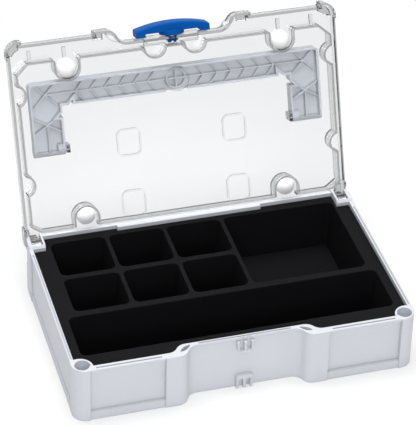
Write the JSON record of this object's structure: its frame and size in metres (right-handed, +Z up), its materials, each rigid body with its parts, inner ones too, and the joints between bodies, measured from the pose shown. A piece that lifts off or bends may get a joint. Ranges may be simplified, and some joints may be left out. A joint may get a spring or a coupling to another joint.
{
  "type": "stackable tool case",
  "caption": "Small stackable tool case: grey base with a black compartment insert, hinged clear lid, folding carry handle and turning latch.",
  "frame": {"origin": "middle of the base's flat underside", "axes": "+X to the case's right, +Y to the rear hinge side, -Y to the latch side, +Z up"},
  "size_m": [0.266, 0.2378, 0.1934],
  "materials": {
    "base_grey": "fine moulded grain, light cool grey",
    "insert_black": "matte black, finely grained",
    "lid_clear": "clear polished plastic",
    "plug_white": "smooth white",
    "handle_grey": "satin light grey",
    "latch_blue": "satin blue",
    "pin_steel": "ground steel"
  },
  "bodies": {
    "base": {"base_tray": "base_grey", "compartment_insert": "insert_black", "hinge_pin_left": "pin_steel", "hinge_pin_right": "pin_steel"},
    "lid": {"lid_shell": "lid_clear", "plug_front_left": "plug_white", "plug_front_right": "plug_white", "plug_rear_left": "plug_white", "plug_rear_right": "plug_white", "handle_pin_left": "handle_grey", "handle_pin_right": "handle_grey"},
    "handle": {"carry_handle": "handle_grey"},
    "latch": {"latch_bar": "latch_blue", "latch_retainer": "latch_blue"}
  },
  "joints": [
    {"name": "lid_hinge", "type": "hinge", "parent": "base", "child": "lid", "pos_m": [0, 0.0765, 0.043], "axis": [-1, 0, 0], "range_deg": [-110.6, 0]},
    {"name": "handle_swing", "type": "hinge", "parent": "lid", "child": "handle", "pos_m": [0, 0.11626, 0.10615], "axis": [-1, 0, 0], "range_deg": [0, 90]},
    {"name": "latch_turn", "type": "hinge", "parent": "lid", "child": "latch", "pos_m": [0, 0.14057, 0.18077], "axis": [0, 0.3518, 0.9361], "range_deg": [-90, 90]}
  ]
}
